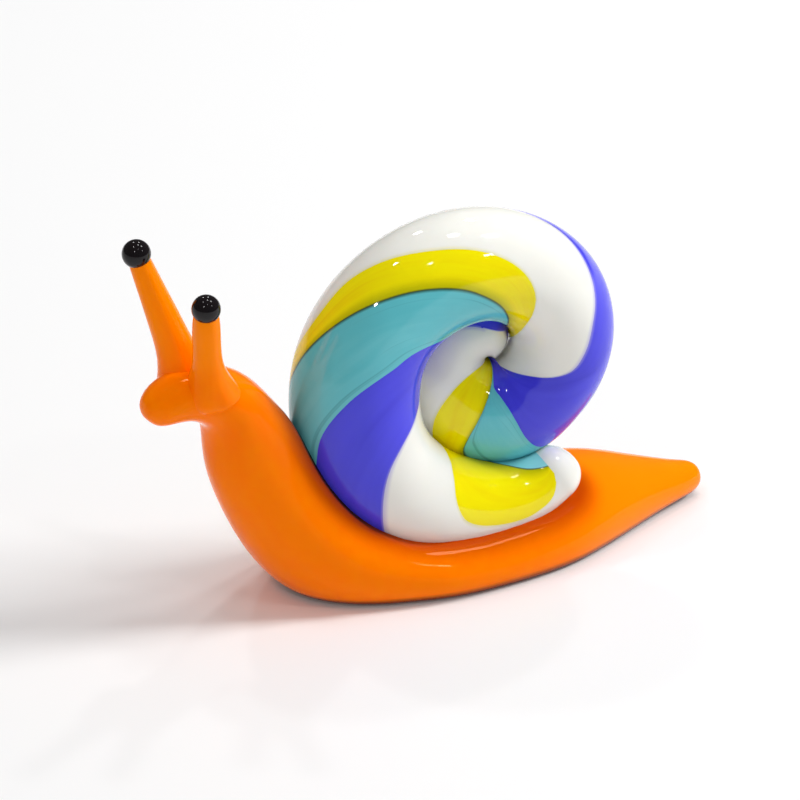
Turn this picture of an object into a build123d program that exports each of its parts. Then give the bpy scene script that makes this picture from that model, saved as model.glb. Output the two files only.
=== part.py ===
from build123d import *
import math
import os

# A lampworked glass snail. Lengths are in millimetres and angles in degrees.
# The head points to -X and the tail to +X, +Z is up, and -Y is the near side.
# The origin lies on the flat sole, straight under the centre of the shell's coil.

# The shell: one striped cane, thick in the middle, wound inward from its tip.
cane_radius = 5.05
turn_gap = 0.45
coil_drift = 3.0
coil_start = 56
coil_end = 650
coil_yaw = -8
path_shares = (2.28, 2.07, 1.88, 1.52, 0.80, 0.81, 0.76, 0.42)
thickness_shares = (
    0.52, 0.80, 1.0, 1.01, 0.98, 0.97, 0.945, 0.905, 0.88, 0.865, 0.85, 0.80, 0.71, 0.56, 0.42,
)
drift_shares = (-1.0, -0.88, -0.70, -0.48, -0.20, 0.12, 0.50, 0.60)
eye_shift = 2.4
eye_shares = (0.0, 0.0, 0.0, 0.45, 1.0, 1.0, 1.0, 0.75)
inward_share = 0.8
tip_share = 0.55
inner_end_share = 0.75
end_swell = 0.1
coil_sections = 60

# The stripes: ribbons of glass sunk into the white cane and twisted with it.
# Edge shares are pairs, in shares of a turn: along the coil, and round the cane's section there.
stripe_depth = 1.2
seam = 0.04
white_edge_shares = (
    (0.155, 0.261), (0.189, 0.236), (0.267, 0.256), (0.311, 0.347), (0.361, 0.533), (0.444, 0.736),
    (0.578, 0.989), (0.628, 1.028), (0.736, 1.142), (0.789, 1.222), (0.839, 1.367), (1.111, 1.778),
    (1.411, 2.142), (1.483, 2.272), (1.556, 2.444), (1.806, 2.889),
)
yellow_edge_shares = (
    (0.155, 0.375), (0.244, 0.500), (0.539, 1.000), (0.625, 1.131), (0.711, 1.239), (0.764, 1.333),
    (0.839, 1.500), (1.111, 1.889), (1.333, 2.139), (1.378, 2.231), (1.417, 2.347), (1.472, 2.450),
    (1.806, 2.944),
)
turquoise_edge_shares = (
    (0.155, 0.542), (0.444, 1.061), (0.483, 1.114), (0.567, 1.267), (0.631, 1.361), (0.861, 1.750),
    (1.167, 2.089), (1.214, 2.197), (1.256, 2.294), (1.306, 2.361), (1.389, 2.444), (1.500, 2.572),
    (1.806, 3.019),
)
violet_edge_shares = (
    (0.155, 0.783), (0.353, 1.117), (0.428, 1.264), (0.472, 1.383), (0.797, 1.994), (0.864, 2.100),
    (0.922, 2.197), (0.978, 2.261), (1.039, 2.400), (1.250, 2.681), (1.636, 3.097), (1.806, 3.292),
)

# The body: one gather pulled into tail, foot, neck and snout, pressed flat underneath.
tail_reach = 22.3
head_reach = 29.9
foot_width = 17.6
foot_height = 6.5
neck_width = 9.6
neck_depth = 9.4
head_height = 20.0
snout_radius = 2.2
snout_droop = 0.5
glass_under_shell = 1.08
saddle_clearance = 0.15

# Foot stations from the tail: distance, height of the middle, half width and half height.
# The first number is a share of the tail's reach, and past the coil of the head's reach.
foot_shares = (
    (0.98, 0.23, 0.09, 0.13),
    (0.95, 0.23, 0.165, 0.21),
    (0.885, 0.24, 0.24, 0.26),
    (0.735, 0.27, 0.40, 0.37),
    (0.57, 0.28, 0.59, 0.52),
    (0.40, 0.27, 0.78, 0.64),
    (0.18, 0.25, 0.94, 0.67),
    (-0.11, 0.25, 1.0, 0.64),
    (-0.28, 0.32, 0.93, 0.66),
)
# Neck stations: distance, height of the middle, half width, half depth and lean of the section.
neck_shares = (
    (0.44, 0.20, 1.42, 1.04, 38),
    (0.566, 0.423, 1.05, 1.0, 62),
    (0.648, 0.65, 0.80, 0.91, 74),
    (0.706, 0.83, 0.70, 0.68, 62),
    (0.765, 0.945, 0.62, 0.55, 34),
)
# Snout stations: distance, droop, half width and half height.
snout_shares = (
    (0.866, 0.3, 1.06, 1.0),
    (0.945, 0.8, 0.88, 0.84),
    (0.981, 1.0, 0.57, 0.55),
)

# The eyes: a black bead melted onto the end of each stalk.
bead_diameter = 2.4
bead_seat = 0.7
stalk_spacing = 2.6
stalk_root_share = 0.823
stalk_shares = ((0.0, 1.36), (0.3, 1.32), (0.6, 1.2), (0.8, 1.07), (1.0, 0.96))
right_stalk_length = 9.2
right_stalk_radius = 1.08
right_stalk_tilt = 8.5
right_stalk_splay = 14
left_stalk_length = 12.9
left_stalk_radius = 1.16
left_stalk_tilt = 20
left_stalk_splay = 5.3

overrun = 20.0


def smooth(shares, t):
    """Value at t, from 0 to 1, of a smooth curve through evenly spaced shares."""
    last = len(shares) - 1
    index = min(int(t * last), last - 1)
    f = t * last - index
    before = shares[max(index - 1, 0)]
    here = shares[index]
    following = shares[index + 1]
    after = shares[min(index + 2, last)]
    slope = (following - before) / 2
    next_slope = (after - here) / 2
    return between(here, following, slope, next_slope, f)


def between(low, high, slope, next_slope, f):
    """Cubic from low to high, with the given slope at each end, for f from 0 to 1."""
    rise = high - low
    bend = 3 * rise - 2 * slope - next_slope
    sway = slope + next_slope - 2 * rise
    return low + slope * f + bend * f**2 + sway * f**3


def cane_at(angle):
    """Distance from the coil's axis, radius and sideways drift of the cane at a coil angle."""
    t = (angle - coil_start) / (coil_end - coil_start)
    turns_inside = (coil_end - angle) / 360
    reach = cane_radius * smooth(path_shares, t) + turn_gap * turns_inside
    return reach, cane_radius * smooth(thickness_shares, t), coil_drift * smooth(drift_shares, t)


def section_plane(angle):
    """Plane through the coil's axis, with local x pointing outward and y to the near side."""
    reach, _, drift = cane_at(angle)
    cosine = math.cos(math.radians(angle))
    sine = math.sin(math.radians(angle))
    shift = eye_shift * smooth(eye_shares, (angle - coil_start) / (coil_end - coil_start))
    centre = (shift + reach * cosine, drift, -reach * sine)
    return Plane(origin=centre, x_dir=(cosine, 0, -sine), z_dir=(-sine, 0, -cosine))


def rim(radius, angle):
    """Point on the cane's section, which is a little flattened toward the coil's axis."""
    outward = radius * math.cos(math.radians(angle))
    if outward < 0:
        outward = outward * inward_share
    return (outward, radius * math.sin(math.radians(angle)))


def rim_arc(radius, start, end):
    return ThreePointArc(rim(radius, start), rim(radius, (start + end) / 2), rim(radius, end))


def coil_angles():
    step = (coil_end - coil_start) / (coil_sections - 1)
    return [coil_start + step * index for index in range(coil_sections)]


def edge_angle(edge, angle):
    """Angle round the cane's section at which a stripe edge lies, on a curve through its pairs."""
    rates = [(after[1] - before[1]) / (after[0] - before[0]) for before, after in zip(edge, edge[1:])]
    index = max(number for number in range(len(rates)) if edge[number][0] <= angle / 360)
    start, low = edge[index]
    end, high = edge[index + 1]
    f = (angle / 360 - start) / (end - start)
    slope = (end - start) * shared_rate(rates[max(index - 1, 0)], rates[index])
    next_slope = (end - start) * shared_rate(rates[index], rates[min(index + 1, len(rates) - 1)])
    return 360 * between(low, high, slope, next_slope, f)


def shared_rate(before, after):
    """Slope between two runs of a curve that must not swing past its points."""
    return 2 * before * after / (before + after) if before * after > 0 else 0


def stripe(leading, trailing):
    """Ribbon between two stripe edges, as deep as the stripe, along the whole cane."""
    sections = []
    for angle in coil_angles():
        radius = cane_at(angle)[1]
        trim = math.degrees(seam / (radius - stripe_depth)) / 2
        start = edge_angle(trailing, angle) + trim
        end = edge_angle(leading, angle) - trim
        outer = rim_arc(radius, start, end)
        inner = rim_arc(radius - stripe_depth + seam, start, end)
        sides = [Line(outer @ 0, inner @ 0), Line(outer @ 1, inner @ 1)]
        sections.append(section_plane(angle) * make_face([outer, inner] + sides))
    return loft(sections)


def dome(angle, length_share, side):
    """Rounded end of the cane, swollen a little by the flame, on the given side of a section."""
    plane = section_plane(angle)
    ball = plane * scale(Sphere(cane_at(angle)[1] + end_swell), by=(1, 1, length_share))
    return split(ball, bisect_by=plane, keep=side)


def shell_core():
    """White cane with a channel for each stripe and two rounded ends."""
    stripe_edges = (violet_edge_shares, turquoise_edge_shares, yellow_edge_shares, white_edge_shares)
    sections = []
    for angle in coil_angles():
        radius = cane_at(angle)[1]
        edges = [edge_angle(edge, angle) for edge in stripe_edges]
        white = rim_arc(radius, edges[0] - 360, edges[3])
        floors = [rim_arc(radius - stripe_depth, edges[index + 1], edges[index]) for index in range(3)]
        sides = [Line(white @ 0, floors[0] @ 1), Line(white @ 1, floors[2] @ 0)]
        sections.append(section_plane(angle) * make_face([white] + floors + sides))
    tip = dome(coil_start, tip_share, Keep.BOTTOM)
    inner_end = dome(coil_end, inner_end_share, Keep.TOP)
    return loft(sections) + tip + inner_end


def saddle():
    """The cane's whole outer form, grown by the clearance that the body leaves around it."""
    sections = []
    for angle in coil_angles():
        radius = cane_at(angle)[1] + saddle_clearance
        quarters = [rim_arc(radius, quarter * 90, quarter * 90 + 90) for quarter in range(4)]
        sections.append(section_plane(angle) * make_face(quarters))
    tip = section_plane(coil_start) * Sphere(cane_at(coil_start)[1] + end_swell + saddle_clearance)
    return loft(sections) + tip


def coil_depth():
    """How far the cane reaches below the coil's centre."""
    depths = []
    for angle in coil_angles():
        reach, radius = cane_at(angle)[:2]
        depths.append(reach * math.sin(math.radians(angle)) + radius)
    return max(depths)


coil_height = glass_under_shell + coil_depth()
shell_place = Pos(0, 0, coil_height) * Rot(0, 0, coil_yaw)


def body_section(x, z, half_width, half_depth, lean):
    """Ellipse across the body, leaning from upright (0) to lying flat (90)."""
    normal = (-math.cos(math.radians(lean)), 0, math.sin(math.radians(lean)))
    return Plane(origin=(x, 0, z), x_dir=(0, 1, 0), z_dir=normal) * Ellipse(half_width, half_depth)


def body_gather():
    """Tail, foot, neck and snout in one smooth run, before it is flattened and saddled."""
    foot_level = foot_shares[0][1] * foot_height
    sections = [Vertex(tail_reach, 0, foot_level)]
    for along, level, width, height in foot_shares:
        reach = tail_reach if along > 0 else head_reach
        half_width = width * foot_width / 2
        half_height = height * foot_height
        sections.append(body_section(along * reach, level * foot_height, half_width, half_height, 0))
    for along, level, width, depth, lean in neck_shares:
        half_width = width * neck_width / 2
        half_depth = depth * neck_depth / 2
        level = level * head_height
        sections.append(body_section(-along * head_reach, level, half_width, half_depth, lean))
    for along, droop, width, height in snout_shares:
        level = head_height - droop * snout_droop
        half_width = width * snout_radius
        sections.append(body_section(-along * head_reach, level, half_width, height * snout_radius, 0))
    sections.append(Vertex(-head_reach, 0, head_height - snout_droop))
    return loft(sections)


def body():
    below_sole = Pos(0, 0, -overrun / 2) * Box(4 * (tail_reach + head_reach), 4 * foot_width, overrun)
    return body_gather() - below_sole - shell_place * saddle()


def stalk_line(side, length, tilt, splay):
    """Root and direction of an eye stalk; side is -1 for the near eye and 1 for the far one."""
    root = Vector(-stalk_root_share * head_reach, side * stalk_spacing / 2, head_height)
    direction = Vector(-math.tan(math.radians(tilt)), side * math.tan(math.radians(splay)), 1).normalized()
    return root, direction, root + direction * length


def eye(side, length, radius, tilt, splay, head):
    """Stalk and bead: the stalk grows out of the head and ends in a cup that holds the bead."""
    root, direction, centre = stalk_line(side, length, tilt, splay)
    bead = Pos(centre) * Sphere(bead_diameter / 2)
    sections = []
    for along, width in stalk_shares:
        place = root + direction * (along * (length - bead_seat))
        sections.append(Plane(origin=place, z_dir=direction) * Circle(width * radius))
    stalk = loft(sections) - head - bead
    return stalk, bead


def inner_end_points():
    """Points on the rounded inner end of the cane."""
    plane = section_plane(coil_end)
    radius = cane_at(coil_end)[1] + end_swell
    points = []
    for lift in range(0, 90, 15):
        across = radius * math.cos(math.radians(lift))
        along = radius * inner_end_share * math.sin(math.radians(lift))
        for turn in range(0, 360, 6):
            outward = across * math.cos(math.radians(turn))
            nearward = across * math.sin(math.radians(turn))
            points.append(plane.from_local_coords((outward, nearward, along)))
    return points


def least_turn_gap():
    """Least distance between points on neighbouring turns of the cane, its inner end among them."""
    rings = []
    for angle in range(coil_start, coil_end + 1):
        plane = section_plane(angle)
        radius = cane_at(angle)[1]
        rings.append([plane.from_local_coords(rim(radius, turn)) for turn in range(0, 360, 6)])
    gaps = []
    for index in range(0, len(rings) - 360, 6):
        for offset in range(-12, 13, 6):
            other = min(max(index + 360 + offset, 0), len(rings) - 1)
            gaps.append(min((p - q).length for p in rings[index] for q in rings[other]))
    end_points = inner_end_points()
    for ring in rings[len(rings) - 360:len(rings) - 270:6]:
        gaps.append(min((p - q).length for p in ring for q in end_points))
    return min(gaps)


os.makedirs("parts", exist_ok=True)
figure = body()
right_form = (right_stalk_length, right_stalk_radius, right_stalk_tilt, right_stalk_splay)
left_form = (left_stalk_length, left_stalk_radius, left_stalk_tilt, left_stalk_splay)
right_stalk, right_bead = eye(-1, *right_form, figure)
left_stalk, left_bead = eye(1, *left_form, figure)
pieces = {
    "body": figure,
    "right_eye_stalk": right_stalk,
    "left_eye_stalk": left_stalk,
    "right_eye_bead": right_bead,
    "left_eye_bead": left_bead,
    "shell_core": shell_place * shell_core(),
    "violet_stripe": shell_place * stripe(violet_edge_shares, turquoise_edge_shares),
    "turquoise_stripe": shell_place * stripe(turquoise_edge_shares, yellow_edge_shares),
    "yellow_stripe": shell_place * stripe(yellow_edge_shares, white_edge_shares),
}
for name, piece in pieces.items():
    export_step(piece, f"parts/{name}.step")
    print(f"{name}: {len(piece.solids())} solid, {piece.volume:.1f} mm3")
print(f"coil centre height {coil_height:.2f} mm, least gap between turns {least_turn_gap():.2f} mm")
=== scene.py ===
import math
import bmesh
import bpy
from mathutils import Matrix, Vector
from mathutils.kdtree import KDTree


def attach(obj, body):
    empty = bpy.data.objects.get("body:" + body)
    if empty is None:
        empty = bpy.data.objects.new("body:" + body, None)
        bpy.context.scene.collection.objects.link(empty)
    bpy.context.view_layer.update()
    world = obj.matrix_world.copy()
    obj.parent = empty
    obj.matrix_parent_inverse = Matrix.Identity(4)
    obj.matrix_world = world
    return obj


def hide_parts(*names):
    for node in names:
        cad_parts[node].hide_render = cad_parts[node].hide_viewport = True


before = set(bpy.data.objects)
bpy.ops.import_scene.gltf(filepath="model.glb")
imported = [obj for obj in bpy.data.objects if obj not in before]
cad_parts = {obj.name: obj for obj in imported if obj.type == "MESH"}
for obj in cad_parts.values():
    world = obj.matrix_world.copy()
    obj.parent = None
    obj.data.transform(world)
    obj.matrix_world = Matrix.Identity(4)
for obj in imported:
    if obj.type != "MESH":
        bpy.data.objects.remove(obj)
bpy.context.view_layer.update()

# Shell core: one thick rod of opaque ivory-white glass, softened in the flame and wound inward
# from its tip. The flame rounds both of its ends, and three channels along it hold the stripes.
# Lengths are in metres and angles in degrees.
cane_radius = 0.00505
turn_gap = 0.00045
coil_drift = 0.003
eye_shift = 0.0024
coil_height = 0.01675
coil_yaw = -8
coil_start = 56
coil_end = 650
inner_stop = 606
# Shares at even steps from the rod's tip to the middle of the coil: of the rod's radius for its path
# and thickness, of the drift and the shift, and of the inner and the outer half of its section.
path_shares = (2.28, 2.07, 1.88, 1.52, 0.80, 0.81, 0.76, 0.30)
drift_shares = (-1.0, -0.88, -0.70, -0.48, -0.20, 0.12, 0.40, 0.12)
eye_shares = (0.0, 0.0, 0.0, 0.45, 1.0, 1.0, 1.0, 1.1)
thickness_shares = (
    0.46, 0.80, 1.0, 1.015, 0.98, 0.974, 0.945, 0.905, 0.88, 0.867, 0.85, 0.81, 0.73, 0.60, 0.50)
inward_shares = (1.24, 1.14, 1.04, 1.09, 1.02, 0.90, 0.92, 1.0, 1.0, 1.0, 1.0, 1.0, 1.0, 1.0, 1.0)
outward_shares = (0.82, 0.97, 1.0, 1.0, 1.0, 1.0, 1.0, 1.0, 1.06, 1.18, 1.09, 1.05, 1.03, 1.0, 1.0)
tip_share = 0.95
inner_end_share = 0.85
stripe_depth = 0.0012
# Where each colour ends, as coil angle and angle round the rod.
white_turns = (
    (56, 122), (58, 106), (62, 91), (66, 84), (72, 82), (80, 86), (88, 90), (97, 93), (103, 97),
    (108, 107), (112, 122), (115, 150), (120, 180), (160, 265), (208, 358), (222, 364), (231, 373),
    (248, 394), (265, 411), (280, 430), (290, 452), (294, 472), (298, 496), (310, 525), (400, 640),
    (508, 771), (524, 798), (534, 816), (544, 839), (552, 868), (600, 960), (650, 1040),
)
yellow_turns = (
    (56, 138), (64, 150), (74, 172), (88, 194), (194, 360), (209, 384), (225, 407), (240, 426),
    (256, 446), (263, 457), (273, 474), (290, 515), (310, 562), (400, 680), (478, 767), (483, 786),
    (486, 808), (489, 832), (492, 850), (497, 872), (508, 892), (530, 915), (650, 1060),
)
turquoise_turns = (
    (56, 195), (110, 290), (163, 387), (172, 397), (186, 422), (204, 456), (214, 467), (227, 487),
    (270, 560), (310, 630), (400, 735), (424, 757), (429, 768), (437, 791), (444, 812), (452, 828),
    (467, 842), (476, 846), (484, 850), (490, 858), (497, 879), (508, 900), (520, 922), (650, 1085),
)
violet_turns = (
    (56, 282), (127, 402), (138, 424), (154, 455), (160, 472), (167, 494), (287, 712), (301, 733),
    (311, 753), (322, 775), (332, 793), (346, 806), (357, 816), (364, 836), (368, 860), (380, 888),
    (450, 965), (530, 1045), (575, 1122), (590, 1136), (606, 1146), (650, 1190),
)
coil_rings = 297
dome_rings = 12
white_rows = 60
floor_rows = 40
weld = 1e-7
crease_angle = 70
ivory = (0.89, 0.89, 0.83, 1)
lavender_white = (0.46, 0.43, 0.78, 1)
violet = (0.062, 0.056, 0.80, 1)
deep_blue = (0.02, 0.015, 0.58, 1)
cream = (0.80, 0.76, 0.35, 1)
warm_ivory = (0.91, 0.90, 0.84, 1)
bleed_width = 0.03
bleed_strength = 0.6
cap_shares = (0.65, 0.5)
half_way = (0.5, 0.51)
row_blend = 0.01
lap_width = 0.25
lap_blend = 0.012


def bend(low, high, slope, next_slope, f):
    """Value at f, from 0 to 1, of a cubic that leaves low and reaches high with these slopes."""
    rise = high - low
    return (low + slope * f + (3 * rise - 2 * slope - next_slope) * f**2
            + (slope + next_slope - 2 * rise) * f**3)


def smooth(shares, t):
    """Value at t, from 0 to 1, of a smooth curve through evenly spaced shares."""
    last = len(shares) - 1
    index = min(int(t * last), last - 1)
    before = shares[max(index - 1, 0)]
    here = shares[index]
    following = shares[index + 1]
    after = shares[min(index + 2, last)]
    return bend(here, following, (following - before) / 2, (after - here) / 2, t * last - index)


def coil_share(angle):
    """Share of the coil's turn that lies before a coil angle."""
    return (angle - coil_start) / (coil_end - coil_start)


def cane_at(angle):
    """Centre and radius of the rod at a coil angle, and the directions outward and onward there."""
    t = coil_share(angle)
    turn = math.radians(angle)
    reach = cane_radius * smooth(path_shares, t) + turn_gap * (coil_end - angle) / 360
    outward = Vector((math.cos(turn), 0, -math.sin(turn)))
    onward = Vector((-math.sin(turn), 0, -math.cos(turn)))
    centre = Vector((eye_shift * smooth(eye_shares, t), coil_drift * smooth(drift_shares, t), 0))
    return centre + reach * outward, cane_radius * smooth(thickness_shares, t), outward, onward


shell_place = Matrix.Translation((0, 0, coil_height)) @ Matrix.Rotation(math.radians(coil_yaw), 4, "Z")


def cane_point(angle, round_angle, sink, bulge, end_share):
    """Place on the rod: an angle round its section, a depth under its skin, a swing over a round end."""
    centre, radius, outward, onward = cane_at(angle)
    size = radius * math.cos(math.radians(bulge)) - sink
    across = size * math.cos(math.radians(round_angle))
    across *= smooth(inward_shares if across < 0 else outward_shares, coil_share(angle))
    near = Vector((0, -size * math.sin(math.radians(round_angle)), 0))
    push = radius * end_share * math.sin(math.radians(bulge))
    return shell_place @ (centre + across * outward + near + push * onward)


def stripe_edge(turns, angle):
    """Angle round the rod at which a stripe's edge lies, on an even curve through its turns."""
    rates = [(after[1] - before[1]) / (after[0] - before[0]) for before, after in zip(turns, turns[1:])]
    index = max(i for i in range(len(rates)) if turns[i][0] <= angle)
    start, low = turns[index]
    end, high = turns[index + 1]
    slopes = []
    for other in (max(index - 1, 0), min(index + 1, len(rates) - 1)):
        near, far = rates[index], rates[other]
        even_rate = 2 * near * far / (near + far) if near * far > 0 else 0
        slopes.append(even_rate * (end - start))
    return bend(low, high, slopes[0], slopes[1], (angle - start) / (end - start))


def roll(name, columns, rows, corner_place):
    """Piece made by rolling a flat sheet into a closed tube, with its ends filled."""
    sheet = bmesh.new()
    sheet.loops.layers.uv.new("run")
    bmesh.ops.create_grid(sheet, x_segments=columns, y_segments=rows, size=1, calc_uvs=True)
    for corner in sheet.verts:
        column = round((corner.co.x + 1) / 2 * columns)
        row = round((corner.co.y + 1) / 2 * rows)
        corner.co = corner_place(column, row)
    bmesh.ops.remove_doubles(sheet, verts=sheet.verts, dist=weld)
    bmesh.ops.holes_fill(sheet, edges=[edge for edge in sheet.edges if edge.is_boundary], sides=0)
    bmesh.ops.recalc_face_normals(sheet, faces=sheet.faces)
    for face in sheet.faces:
        face.smooth = True
    mesh = bpy.data.meshes.new(name)
    sheet.to_mesh(mesh)
    sheet.free()
    mesh.set_sharp_from_angle(angle=math.radians(crease_angle))
    piece = bpy.data.objects.new(name, mesh)
    bpy.context.scene.collection.objects.link(piece)
    return piece


ring_step = (inner_stop - coil_start) / coil_rings
ring_angles = [coil_start + ring_step * index for index in range(coil_rings + 1)]
edge_tables = (white_turns, yellow_turns, turquoise_turns, violet_turns)
edges_at = {angle: [stripe_edge(turns, angle) for turns in edge_tables] for angle in ring_angles}
dome_swings = [90 * index / dome_rings for index in range(dome_rings + 1)]
core_rings = [(coil_start, swing - 90, 0, tip_share) for swing in dome_swings]
core_rings += [(angle, 0, stripe_depth, 0) for angle in ring_angles]
core_rings += [(ring_angles[-1], swing, 0, inner_end_share) for swing in dome_swings]
core_columns = len(core_rings) - 1
core_rows = white_rows + floor_rows + 2


def core_corner(column, row):
    """Corner of the core's sheet: the white skin first, then the floor of the channels."""
    angle, bulge, channel, end_share = core_rings[column]
    violet_edge = edges_at[angle][3] - 360
    white_edge = edges_at[angle][0]
    row = row % core_rows
    if row <= white_rows:
        round_angle = violet_edge + (white_edge - violet_edge) * row / white_rows
        return cane_point(angle, round_angle, 0, bulge, end_share)
    floor_share = (row - white_rows - 1) / floor_rows
    round_angle = white_edge + (violet_edge + 360 - white_edge) * floor_share
    return cane_point(angle, round_angle, channel, bulge, end_share)


def add_node(tree, kind, **settings):
    """New shader node with its settings, and its inputs set or linked by name or number."""
    inputs = settings.pop("inputs", {})
    node = tree.nodes.new(kind)
    for setting, value in settings.items():
        setattr(node, setting, value)
    for key, value in inputs.items():
        if isinstance(value, bpy.types.NodeSocket):
            tree.links.new(value, node.inputs[key])
        else:
            node.inputs[key].default_value = value
    return node


def mask_between(tree, value, span, levels):
    """Smooth step of a value over a span, from the first level to the second."""
    step = add_node(tree, "ShaderNodeMapRange", interpolation_type="SMOOTHSTEP", inputs={
        "Value": value, "From Min": span[0], "From Max": span[1],
        "To Min": levels[0], "To Max": levels[1]})
    return step.outputs["Result"]


def product(tree, first, second):
    """Product of two masks, which covers only what both of them cover."""
    return add_node(tree, "ShaderNodeMath", operation="MULTIPLY", inputs={0: first, 1: second}).outputs[0]


def mixed(tree, mask, first, second):
    """Colour that goes from the first to the second as the mask goes from 0 to 1."""
    mix = add_node(tree, "ShaderNodeMix", data_type="RGBA", inputs={0: mask, 6: first, 7: second})
    return mix.outputs[2]


# Every piece cooled from the flame, so all share one faintly wavy skin and a patchy gloss.
speck_scale = 900.0
speck_span = (0.3, 0.7)
gloss_span = (0.02, 0.06)
glass_ior = 1.52
scatter_colours = (1.0, 0.8, 0.6)
scatter_depth = 0.0012
fire_polish = bpy.data.node_groups.new("fire_polish", "ShaderNodeTree")
fire_polish.interface.new_socket(name="Wave Scale", in_out="INPUT", socket_type="NodeSocketFloat")
for socket_name in ("Height", "Roughness", "Cloud"):
    fire_polish.interface.new_socket(name=socket_name, in_out="OUTPUT", socket_type="NodeSocketFloat")
polish_in = add_node(fire_polish, "NodeGroupInput")
polish_place = add_node(fire_polish, "ShaderNodeTexCoord").outputs["Object"]
polish_wave = add_node(fire_polish, "ShaderNodeTexNoise", inputs={
    "Vector": polish_place, "Scale": polish_in.outputs["Wave Scale"], "Detail": 1.0, "Roughness": 0.4})
polish_speck = add_node(fire_polish, "ShaderNodeTexNoise", inputs={
    "Vector": polish_place, "Scale": speck_scale, "Detail": 2.0})
polish_rough = add_node(fire_polish, "ShaderNodeMapRange", inputs={
    "Value": polish_speck.outputs["Fac"], "From Min": speck_span[0], "From Max": speck_span[1],
    "To Min": gloss_span[0], "To Max": gloss_span[1]})
polish_out = add_node(fire_polish, "NodeGroupOutput")
fire_polish.links.new(polish_wave.outputs["Fac"], polish_out.inputs["Height"])
fire_polish.links.new(polish_rough.outputs["Result"], polish_out.inputs["Roughness"])
fire_polish.links.new(polish_speck.outputs["Fac"], polish_out.inputs["Cloud"])


def glass(name, wave_scale, wave_depth, glow, sheen):
    """Fire-polished opaque glass: returns its material, its node tree, its shader and its polish."""
    material = bpy.data.materials.new(name)
    material.use_nodes = True
    tree = material.node_tree
    shader = tree.nodes["Principled BSDF"]
    polish = add_node(tree, "ShaderNodeGroup", node_tree=fire_polish, inputs={"Wave Scale": wave_scale})
    bump = add_node(tree, "ShaderNodeBump", inputs={
        "Height": polish.outputs["Height"], "Distance": wave_depth, "Strength": 1.0})
    tree.links.new(bump.outputs["Normal"], shader.inputs["Normal"])
    tree.links.new(polish.outputs["Roughness"], shader.inputs["Roughness"])
    shader.inputs["IOR"].default_value = glass_ior
    shader.inputs["Specular IOR Level"].default_value = sheen
    shader.inputs["Subsurface Weight"].default_value = glow
    shader.inputs["Subsurface Radius"].default_value = scatter_colours
    shader.inputs["Subsurface Scale"].default_value = scatter_depth
    return material, tree, shader, polish


def run_place(tree):
    """Place along and across a rolled piece, from its own sheet."""
    run = add_node(tree, "ShaderNodeUVMap", uv_map="run")
    parts = add_node(tree, "ShaderNodeSeparateXYZ", inputs={"Vector": run.outputs["UV"]})
    return run.outputs["UV"], parts.outputs["X"], parts.outputs["Y"]


white_glass, tree, shader, polish = glass(
    "white_rod_glass", wave_scale=260.0, wave_depth=0.00012, glow=0.12, sheen=0.4)
_, along, across = run_place(tree)
white_share = white_rows / core_rows
dome_share = dome_rings / core_columns
skin = mixed(tree, polish.outputs["Cloud"], ivory, warm_ivory)
# The stripes on both sides bleed a little into the white, the yellow one only past the rounded tip.
violet_side = mask_between(tree, across, (0.0, bleed_width), (bleed_strength, 0.0))
skin = mixed(tree, violet_side, skin, lavender_white)
yellow_side = mask_between(tree, across, (white_share - bleed_width, white_share), (0.0, bleed_strength))
past_tip = mask_between(tree, along, (dome_share, 2 * dome_share), (0.0, 1.0))
skin = mixed(tree, product(tree, yellow_side, past_tip), skin, cream)
# Over the inner end: a deep blue cap, with violet on the rows of its own ribbon and in a lap over the
# white that widens toward the cap.
cap = mask_between(tree, along, [1 - share * dome_share for share in cap_shares], (0.0, 1.0))
skin = mixed(tree, cap, skin, deep_blue)
end_white, _, end_turquoise, end_violet = edges_at[ring_angles[-1]]
violet_row = white_share + (1 - white_share) * (end_turquoise - end_white) / (end_violet - end_white)
violet_rows = mask_between(tree, across, (violet_row, violet_row + row_blend), (0.0, 1.0))
inner_half = mask_between(tree, along, half_way, (0.0, 1.0))
skin = mixed(tree, product(tree, inner_half, violet_rows), skin, violet)
lap_rate = lap_width / dome_share
lap_end = -lap_rate * (1 - dome_share)
lap_edge = add_node(tree, "ShaderNodeMath", operation="MULTIPLY_ADD", inputs={
    0: along, 1: -lap_rate, 2: across}).outputs[0]
lap = mask_between(tree, lap_edge, (lap_end - lap_blend, lap_end), (1.0, 0.0))
skin = mixed(tree, lap, skin, violet)
tree.links.new(skin, shader.inputs["Base Color"])

shell_core = roll("shell_core_rod", core_columns, core_rows, core_corner)
shell_core.data.materials.append(white_glass)
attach(shell_core, "root")
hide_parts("shell_core")

# Stripes: three ribbons of coloured glass laid along the hot white rod and melted in flush with its
# skin. The rod was then twisted, so they run round it like the stripes of a stick of candy.
skin_rows = 40
under_rows = 16
stripe_rows = skin_rows + under_rows + 2
skin_share = skin_rows / stripe_rows
turquoise = (0.125, 0.56, 0.63, 1)
dark_teal = (0.07, 0.36, 0.42, 1)
pale_teal = (0.20, 0.66, 0.72, 1)
ice_teal = (0.32, 0.78, 0.84, 1)
yellow = (0.97, 0.84, 0.0, 1)
golden = (0.92, 0.72, 0.0, 1)
olive = (0.42, 0.42, 0.0, 1)
reaction_green = (0.03, 0.07, 0.02, 1)
ribbon_wave = 240.0
ribbon_wave_depth = 0.00012
soft_span = (0.4, 0.8)
violet_draw = (4.0, 3.0)
violet_line_strength = 0.5
pale_edge_start = 0.955
pale_edge_strength = 0.45
turquoise_draw = (3.0, 9.0)
turquoise_line_span = (0.58, 0.68)
turquoise_line_strength = 0.8
turquoise_cloud = (8.0, 4.0)
turquoise_cloud_strength = 0.6
ice_tip_length = 0.05
ice_tip_strength = 0.9
dark_edge_width = 0.05
dark_edge_strength = 0.9
yellow_cloud = (8.0, 5.0)
golden_span = (0.4, 0.75)
olive_start = 0.62
olive_strength = 0.75


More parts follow.
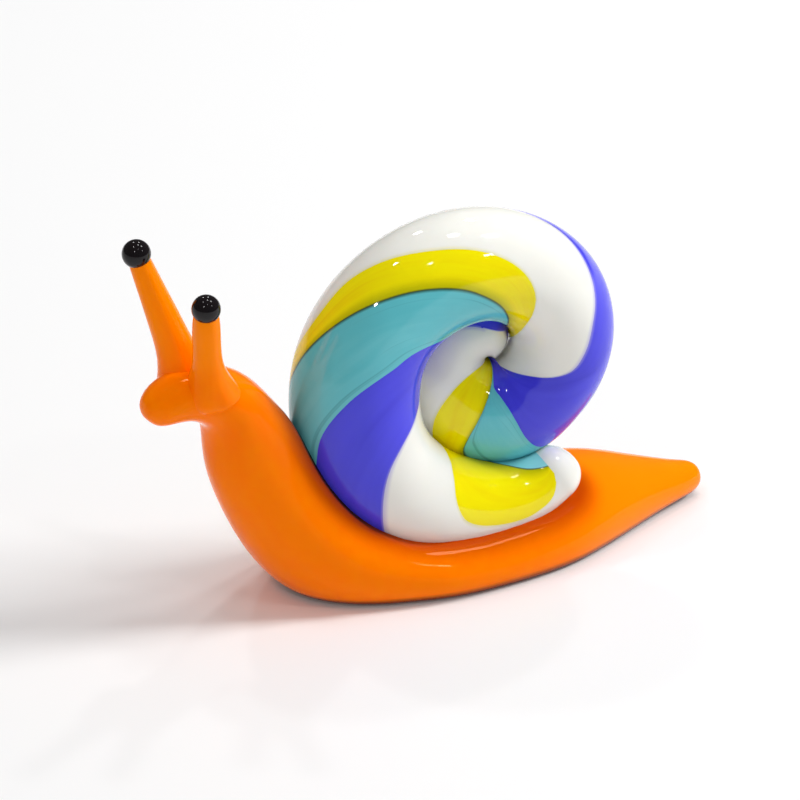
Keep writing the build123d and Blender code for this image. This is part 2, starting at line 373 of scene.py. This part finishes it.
def stripe(name, trailing):
    """Ribbon between two stripe edges along the whole rod, bedded on the channel's floor."""
    def stripe_corner(column, row):
        """Corner of the ribbon's sheet: its skin first, then its underside."""
        angle = ring_angles[column]
        start = edges_at[angle][trailing]
        width = edges_at[angle][trailing + 1] - start
        row = row % stripe_rows
        if row <= skin_rows:
            return cane_point(angle, start + width * row / skin_rows, 0, 0, 0)
        back_share = (row - skin_rows - 1) / under_rows
        return cane_point(angle, start + width * (1 - back_share), stripe_depth, 0, 0)
    return roll(name, coil_rings, stripe_rows, stripe_corner)


def streaks(tree, sheet_place, draw):
    """Fine lines that the draw of the glass pulled out, closer together where its scale is larger."""
    stretch = add_node(tree, "ShaderNodeMapping", inputs={
        "Vector": sheet_place, "Scale": (draw[0], draw[1], 1.0)})
    lines = add_node(tree, "ShaderNodeTexNoise", inputs={
        "Vector": stretch.outputs["Vector"], "Scale": 1.0, "Detail": 3.0, "Roughness": 0.6})
    return lines.outputs["Fac"]


violet_glass, tree, shader, _ = glass(
    "violet_ribbon_glass", ribbon_wave, ribbon_wave_depth, glow=0.05, sheen=0.4)
sheet_place, _, across = run_place(tree)
lines = mask_between(tree, streaks(tree, sheet_place, violet_draw),
                     soft_span, (0.0, violet_line_strength))
skin = mixed(tree, lines, violet, deep_blue)
white_side = mask_between(
    tree, across, (skin_share * pale_edge_start, skin_share), (0.0, pale_edge_strength))
skin = mixed(tree, white_side, skin, lavender_white)
tree.links.new(skin, shader.inputs["Base Color"])

turquoise_glass, tree, shader, _ = glass(
    "turquoise_ribbon_glass", ribbon_wave, ribbon_wave_depth, glow=0.08, sheen=0.4)
sheet_place, along, across = run_place(tree)
lines = mask_between(tree, streaks(tree, sheet_place, turquoise_draw),
                     turquoise_line_span, (0.0, turquoise_line_strength))
clouds = mask_between(tree, streaks(tree, sheet_place, turquoise_cloud),
                      soft_span, (0.0, turquoise_cloud_strength))
skin = mixed(tree, clouds, turquoise, pale_teal)
skin = mixed(tree, lines, skin, dark_teal)
tip_side = mask_between(tree, along, (0.0, ice_tip_length), (ice_tip_strength, 0.0))
skin = mixed(tree, tip_side, skin, ice_teal)
yellow_side = mask_between(tree, across, (0.0, skin_share * dark_edge_width), (dark_edge_strength, 0.0))
skin = mixed(tree, yellow_side, skin, reaction_green)
tree.links.new(skin, shader.inputs["Base Color"])

yellow_glass, tree, shader, _ = glass(
    "yellow_ribbon_glass", ribbon_wave, ribbon_wave_depth, glow=0.08, sheen=0.35)
sheet_place, _, across = run_place(tree)
clouds = mask_between(tree, streaks(tree, sheet_place, yellow_cloud), golden_span, (0.0, 1.0))
skin = mixed(tree, clouds, yellow, golden)
olive_side = mask_between(tree, across, (skin_share * olive_start, skin_share), (0.0, olive_strength))
skin = mixed(tree, olive_side, skin, olive)
dark_side = mask_between(
    tree, across, (skin_share * (1 - dark_edge_width), skin_share), (0.0, dark_edge_strength))
skin = mixed(tree, dark_side, skin, reaction_green)
tree.links.new(skin, shader.inputs["Base Color"])

for trailing, stripe_name, stripe_glass in (
    (0, "yellow_stripe", yellow_glass),
    (1, "turquoise_stripe", turquoise_glass),
    (2, "violet_stripe", violet_glass),
):
    ribbon = stripe(stripe_name + "_ribbon", trailing)
    ribbon.data.materials.append(stripe_glass)
    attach(ribbon, "root")
    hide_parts(stripe_name)

# Body: one gather of orange glass, pulled out while soft into the tail, the foot, the neck and the
# snout, and pressed flat underneath. The hot shell was set into it and left its print as a saddle.
tail_reach = 0.0223
head_reach = 0.0299
foot_width = 0.0176
foot_height = 0.0065
neck_width = 0.0096
neck_depth = 0.0094
head_height = 0.020
snout_radius = 0.0022
snout_droop = 0.0005
# Sections from the tail to the snout: reach, level, width and height as shares, and the neck's lean.
foot_shares = (
    (0.9946, 0.23, 0.065, 0.088),
    (0.98, 0.23, 0.118, 0.158),
    (0.95, 0.23, 0.165, 0.21),
    (0.885, 0.24, 0.24, 0.26),
    (0.735, 0.27, 0.40, 0.40),
    (0.57, 0.28, 0.59, 0.565),
    (0.40, 0.27, 0.78, 0.64),
    (0.18, 0.25, 0.94, 0.67),
    (-0.11, 0.25, 1.0, 0.64),
    (-0.28, 0.32, 0.93, 0.66),
)
neck_shares = (
    (0.44, 0.20, 1.42, 1.04, 38),
    (0.566, 0.423, 1.05, 1.0, 62),
    (0.648, 0.65, 0.80, 0.91, 74),
    (0.706, 0.83, 0.70, 0.68, 62),
    (0.765, 0.945, 0.62, 0.55, 34),
)
snout_shares = (
    (0.866, 0.3, 1.06, 1.0),
    (0.945, 0.8, 0.88, 0.84),
    (0.981, 1.0, 0.57, 0.55),
    (0.996, 1.0, 0.29, 0.28),
)
body_columns = 220
body_rows = 96
sole_edge = 0.0006
saddle_overlap = 0.0005
groove_width = 0.0012
groove_depth = 0.00035
shade_width = 0.005
fairing_rounds = 12
orange = (1.0, 0.178, 0.0, 1)
deep_orange = (0.94, 0.135, 0.0, 1)
bright_orange = (1.0, 0.22, 0.0, 1)
shell_shade_red = (0.50, 0.05, 0.0, 1)
crevice_shade_black = (0.02, 0.006, 0.002, 1)
underside_shade_brown = (0.20, 0.032, 0.003, 1)
painted_light_orange = (1.0, 0.235, 0.0, 1)
orange_draw = (5.0, 5.0)
pulled_strength = 0.6
tail_span = (0.003, 0.014)
stalk_span = (0.0205, 0.026)
painted_light_strength = 0.9
shell_shade_span = (0.40, 0.95)
shell_shade_strength = 0.95
neck_span = (-0.013, -0.007)
crevice_span = (0.88, 0.965)
rim_span = (0.0003, 0.0011)
painted_glow_strength = 0.13
warm_gleam = (1.0, 0.6, 0.25, 1)

body_stations = [(tail_reach, foot_shares[0][1] * foot_height, 0, 0, 0)]
for reach_share, level, width, height in foot_shares:
    reach = tail_reach if reach_share > 0 else head_reach
    body_stations.append((reach_share * reach, level * foot_height,
                          width * foot_width / 2, height * foot_height, 0))
for reach_share, level, width, depth, lean in neck_shares:
    body_stations.append((-reach_share * head_reach, level * head_height,
                          width * neck_width / 2, depth * neck_depth / 2, lean))
for reach_share, droop, width, height in snout_shares:
    body_stations.append((-reach_share * head_reach, head_height - droop * snout_droop,
                          width * snout_radius, height * snout_radius, 0))
body_stations.append((-head_reach, head_height - snout_droop, 0, 0, 0))


def fair(stations):
    """Control values of an even cubic curve that runs through all the stations without a kink."""
    control = [Vector(station) for station in stations]
    for _ in range(fairing_rounds):
        passed = [(control[max(i - 1, 0)] + 4 * control[i] + control[min(i + 1, len(control) - 1)]) / 6
                  for i in range(len(control))]
        control = [control[i] + Vector(stations[i]) - passed[i] for i in range(len(control))]
    return control


def fair_at(control, t):
    """Value at t, from 0 to 1, of the even cubic curve with these control values."""
    last = len(control) - 1
    index = min(int(t * last), last - 1)
    f = t * last - index
    weights = (
        (1 - f)**3 / 6,
        (3 * f**3 - 6 * f**2 + 4) / 6,
        (3 * f**2 - 3 * f**3 + 3 * f + 1) / 6,
        f**3 / 6,
    )
    picks = [control[min(max(index + offset, 0), last)] for offset in (-1, 0, 1, 2)]
    return sum((weight * pick for weight, pick in zip(weights, picks)), 0 * picks[0])


cane_line = KDTree(len(ring_angles))
for index, angle in enumerate(ring_angles):
    cane_line.insert(shell_place @ cane_at(angle)[0], index)
cane_line.balance()


def shell_gap(point):
    """Centre of the rod that lies nearest to a point, and how far outside the rod the point is."""
    middle, index, distance = cane_line.find(point)
    return middle, distance - cane_at(ring_angles[index])[1]


def settle(point):
    """Where a point of the soft gather ends up: flat on the bench, and pushed aside by the shell."""
    if abs(point.z) < sole_edge:
        point.z = (point.z + sole_edge)**2 / (4 * sole_edge)
    point.z = max(point.z, 0)
    middle, outside = shell_gap(point)
    away = (point - middle).normalized()
    if outside < -saddle_overlap:
        return point - away * (outside + saddle_overlap)
    if abs(outside) < groove_width:
        return point - Vector((0, 0, groove_depth * (1 - abs(outside) / groove_width)**2))
    return point


body_control = fair(body_stations)


def body_corner(column, row):
    """Corner of the body's sheet, on an ellipse that leans with the neck."""
    x, z, half_width, half_depth, lean = fair_at(body_control, column / body_columns)
    if column in (0, body_columns):
        half_width, half_depth = 0, 0
    turn = 2 * math.pi * row / body_rows
    lean = math.radians(lean)
    rise = half_depth * math.cos(turn)
    point = Vector((x + rise * math.sin(lean), half_width * math.sin(turn), z + rise * math.cos(lean)))
    return settle(point)


orange_glass, tree, shader, polish = glass(
    "orange_gather_glass", wave_scale=180.0, wave_depth=0.00015, glow=0.12, sheen=0.14)
sheet_place, _, _ = run_place(tree)
body_place = add_node(tree, "ShaderNodeTexCoord").outputs["Object"]
body_parts = add_node(tree, "ShaderNodeSeparateXYZ", inputs={"Vector": body_place})
body_x = body_parts.outputs["X"]
body_z = body_parts.outputs["Z"]
nearness = add_node(tree, "ShaderNodeAttribute", attribute_name="shell_nearness").outputs["Fac"]
skin = mixed(tree, polish.outputs["Cloud"], orange, bright_orange)
pulled = mask_between(tree, streaks(tree, sheet_place, orange_draw), soft_span, (0.0, pulled_strength))
skin = mixed(tree, pulled, skin, deep_orange)
# Painted light: the orange is made lighter toward the tail and up the stalks, to show them brighter lit.
tail_painted_light = mask_between(tree, body_x, tail_span, (0.0, painted_light_strength))
skin = mixed(tree, tail_painted_light, skin, painted_light_orange)
stalk_painted_light = mask_between(tree, body_z, stalk_span, (0.0, painted_light_strength))
skin = mixed(tree, stalk_painted_light, skin, painted_light_orange)
# Painted shade: the orange goes redder along the shell, where its bulge shades the body, and near
# black in the joint on the neck side. The rim of the sole is painted dark brown, as the shade under its
# edge.
shell_painted_shade = mask_between(tree, nearness, shell_shade_span, (0.0, shell_shade_strength))
skin = mixed(tree, shell_painted_shade, skin, shell_shade_red)
# Painted shade, near black, in the crevice between shell and body on the neck side.
neck_side = mask_between(tree, body_x, neck_span, (1.0, 0.0))
crevice_painted_shade = mask_between(tree, nearness, crevice_span, (0.0, 1.0))
skin = mixed(tree, product(tree, neck_side, crevice_painted_shade), skin, crevice_shade_black)
# Painted shade: dark brown round the bottom of the body, under its edge.
sole_rim_painted_shade = mask_between(tree, body_z, rim_span, (1.0, 0.0))
skin = mixed(tree, sole_rim_painted_shade, skin, underside_shade_brown)
tree.links.new(skin, shader.inputs["Base Color"])
# Painted light: the orange glass glows faintly in its own colour, which lifts its shaded sides.
tree.links.new(skin, shader.inputs["Emission Color"])
shader.inputs["Emission Strength"].default_value = painted_glow_strength
shader.inputs["Specular Tint"].default_value = warm_gleam

gather = roll("body_gather", body_columns, body_rows, body_corner)
shell_nearness = gather.data.attributes.new("shell_nearness", "FLOAT", "POINT")
for index, vertex in enumerate(gather.data.vertices):
    _, outside = shell_gap(vertex.co)
    shell_nearness.data[index].value = max(1 - max(outside, 0) / shade_width, 0)
gather.data.materials.append(orange_glass)
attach(gather, "root")
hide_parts("body")

# Eye stalks: two thin points of orange glass pulled up from the head. Each is wider at the root, where
# it melts into the head, and its rounded end is sunk in the bead.
bead_seat = 0.0007
stalk_spacing = 0.0026
stalk_root = 0.0246
stalk_columns = 60
stalk_rows = 40
# Side, length, radius, forward tilt and splay of each stalk, and how far its root flares.
stalk_sizes = {
    "right_eye_stalk": (-1, 0.0092, 0.00108, 8.5, 14, 0.0010),
    "left_eye_stalk": (1, 0.0129, 0.00116, 20, 5.3, 0.0016),
}
flare_height = 0.0016
stalk_levels = (-0.12, 0.0, 0.25, 0.5, 0.8, 1.0, 1.04, 1.05)
stalk_widths = {
    "right_eye_stalk": (1.1, 1.75, 1.38, 1.10, 1.07, 0.95, 0.6, 0.0),
    "left_eye_stalk": (1.1, 1.75, 1.42, 1.18, 0.95, 0.78, 0.5, 0.0),
}
bead_places = {}
for stalk_name, (side, length, radius, tilt, splay, flare_width) in stalk_sizes.items():
    root = Vector((-stalk_root, side * stalk_spacing / 2, head_height))
    forward = math.tan(math.radians(tilt))
    sideways = side * math.tan(math.radians(splay))
    direction = Vector((-forward, sideways, 1)).normalized()
    stalk_turn = direction.to_track_quat("Z", "Y")
    stalk_control = fair([(level * (length - bead_seat), width * radius)
                          for level, width in zip(stalk_levels, stalk_widths[stalk_name])])

    def stalk_corner(column, row):
        """Corner of the stalk's sheet, on a circle that flares at the root."""
        height, size = fair_at(stalk_control, column / stalk_columns)
        if column == stalk_columns:
            size = 0
        turn = 2 * math.pi * row / stalk_rows
        spoke = stalk_turn @ Vector((math.cos(turn), math.sin(turn), 0))
        flare = flare_width * max(-side * spoke.x, 0) * math.exp(-abs(height) / flare_height)
        return root + spoke * (size + flare) + direction * height

    stalk = roll(stalk_name + "_point", stalk_columns, stalk_rows, stalk_corner)
    stalk.data.materials.append(orange_glass)
    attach(stalk, "root")
    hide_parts(stalk_name)
    bead_places[stalk_name.replace("stalk", "bead")] = (root + direction * length, stalk_turn)

# Eye beads: a dot of black glass on the end of each stalk, dabbed on from a thin rod and drawn round
# by the flame. It is a little flatter below, where it sits on the stalk.
bead_radius = 0.0012
bead_rings = 32
bead_segments = 48
bead_sag = 0.05
soot_black = (0.004, 0.004, 0.006, 1)
brown_black = (0.012, 0.008, 0.008, 1)

black_glass, tree, shader, polish = glass(
    "black_bead_glass", wave_scale=400.0, wave_depth=0.00003, glow=0.0, sheen=0.3)
skin = mixed(tree, polish.outputs["Cloud"], soot_black, brown_black)
tree.links.new(skin, shader.inputs["Base Color"])

for bead_name, (centre, stalk_turn) in bead_places.items():
    drop = bmesh.new()
    bmesh.ops.create_uvsphere(drop, u_segments=bead_segments, v_segments=bead_rings, radius=bead_radius)
    for point in drop.verts:
        lower = max(-point.co.z / bead_radius, 0)
        point.co.z *= 1 - bead_sag * lower
    bead_place = Matrix.Translation(centre) @ stalk_turn.to_matrix().to_4x4()
    bmesh.ops.transform(drop, verts=drop.verts, matrix=bead_place)
    for face in drop.faces:
        face.smooth = True
    mesh = bpy.data.meshes.new(bead_name + "_drop")
    drop.to_mesh(mesh)
    drop.free()
    bead = bpy.data.objects.new(bead_name + "_drop", mesh)
    bpy.context.scene.collection.objects.link(bead)
    bead.data.materials.append(black_glass)
    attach(bead, "root")
    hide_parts(bead_name)

# Bench: a plain sheet of white paper under and behind the figure. It takes the soft shadow, and only
# the camera sees it lifted a little toward white.
floor_size = 2.0
floor_colour = (0.86, 0.86, 0.86, 1)
floor_roughness = 0.6
floor_lift = 0.05
plain_white = (1, 1, 1, 1)
bench = bmesh.new()
bmesh.ops.create_grid(bench, x_segments=1, y_segments=1, size=floor_size / 2)
mesh = bpy.data.meshes.new("bench_sheet")
bench.to_mesh(mesh)
bench.free()
floor = bpy.data.objects.new("bench_sheet", mesh)
bpy.context.scene.collection.objects.link(floor)
floor_paper = bpy.data.materials.new("floor_paper")
floor_paper.use_nodes = True
tree = floor_paper.node_tree
shader = tree.nodes["Principled BSDF"]
shader.inputs["Base Color"].default_value = floor_colour
shader.inputs["Roughness"].default_value = floor_roughness
shader.inputs["Emission Color"].default_value = plain_white
sight = add_node(tree, "ShaderNodeLightPath")
lift = product(tree, sight.outputs["Is Camera Ray"], floor_lift)
tree.links.new(lift, shader.inputs["Emission Strength"])
floor.data.materials.append(floor_paper)

# Studio: a white tent that is brightest overhead, eight small ceiling lamps, which leave the points of
# light on the glass, and one soft lamp on the right, which throws the shadow to the left.
tent_side = 0.28
tent_top = 0.40
tent_mirrored = 0.10
world = bpy.data.worlds.new("white_tent")
world.use_nodes = True
bpy.context.scene.world = world
tree = world.node_tree
sky = tree.nodes["Background"]
sky.inputs["Color"].default_value = plain_white
toward = add_node(tree, "ShaderNodeTexCoord").outputs["Generated"]
tent_height = add_node(tree, "ShaderNodeSeparateXYZ", inputs={"Vector": toward}).outputs["Z"]
tent_light = mask_between(tree, tent_height, (0.0, 1.0), (tent_side, tent_top))
sight = add_node(tree, "ShaderNodeLightPath")
strength = add_node(tree, "ShaderNodeMix", data_type="FLOAT", inputs={
    0: sight.outputs["Is Glossy Ray"], 2: tent_light, 3: tent_mirrored})
tree.links.new(strength.outputs[0], sky.inputs["Strength"])

# Each lamp's name, its direction from the figure, its radius and its power in watts.
lamp_places = (
    ("lamp_1", (0.075, 0.634, 0.769), 0.018, 0.92),
    ("lamp_2", (0.430, 0.472, 0.770), 0.018, 0.92),
    ("lamp_3", (0.183, 0.062, 0.974), 0.040, 1.2),
    ("lamp_4", (0.465, -0.155, 0.872), 0.050, 1.45),
    ("lamp_5", (-0.345, 0.062, 0.936), 0.020, 0.9),
    ("lamp_6", (-0.095, -0.469, 0.877), 0.016, 0.5),
    ("lamp_7", (-0.562, -0.464, 0.685), 0.018, 0.9),
    ("lamp_8", (0.365, -0.672, 0.645), 0.016, 0.4),
)
lamp_distance = 0.6
for lamp_name, direction, lamp_radius, lamp_power in lamp_places:
    bulb = bpy.data.lights.new(lamp_name, "POINT")
    bulb.shadow_soft_size = lamp_radius
    bulb.energy = lamp_power
    lamp = bpy.data.objects.new(lamp_name, bulb)
    lamp.location = Vector(direction).normalized() * lamp_distance
    bpy.context.scene.collection.objects.link(lamp)

key_place = Vector((0.42, -0.13, 0.33))
key_width = 0.16
key_height = 0.10
key_power = 1.9
key = bpy.data.lights.new("soft_lamp", "AREA")
key.shape = "RECTANGLE"
key.size = key_width
key.size_y = key_height
key.energy = key_power
lamp = bpy.data.objects.new("soft_lamp", key)
lamp.location = key_place
lamp.rotation_euler = (-key_place).to_track_quat("-Z", "Y").to_euler()
lamp.visible_glossy = False
bpy.context.scene.collection.objects.link(lamp)

# Camera: from the near front quarter, a little above, with a long lens that keeps the sides of the
# figure almost parallel.
look_at = Vector((-0.00505, 0.00149, 0.0139))
look_along = Vector((0.4532, 0.7849, -0.4226))
camera_distance = 1.805
camera_lens = 1000
sensor_width = 36
clip_start = 0.01
camera_data = bpy.data.cameras.new("camera")
camera_data.lens = camera_lens
camera_data.sensor_width = sensor_width
camera_data.clip_start = clip_start
camera = bpy.data.objects.new("camera", camera_data)
camera.location = look_at - look_along * camera_distance
camera.rotation_euler = look_along.to_track_quat("-Z", "Y").to_euler()
bpy.context.scene.collection.objects.link(camera)
bpy.context.scene.camera = camera
bpy.context.scene.view_settings.view_transform = "Standard"
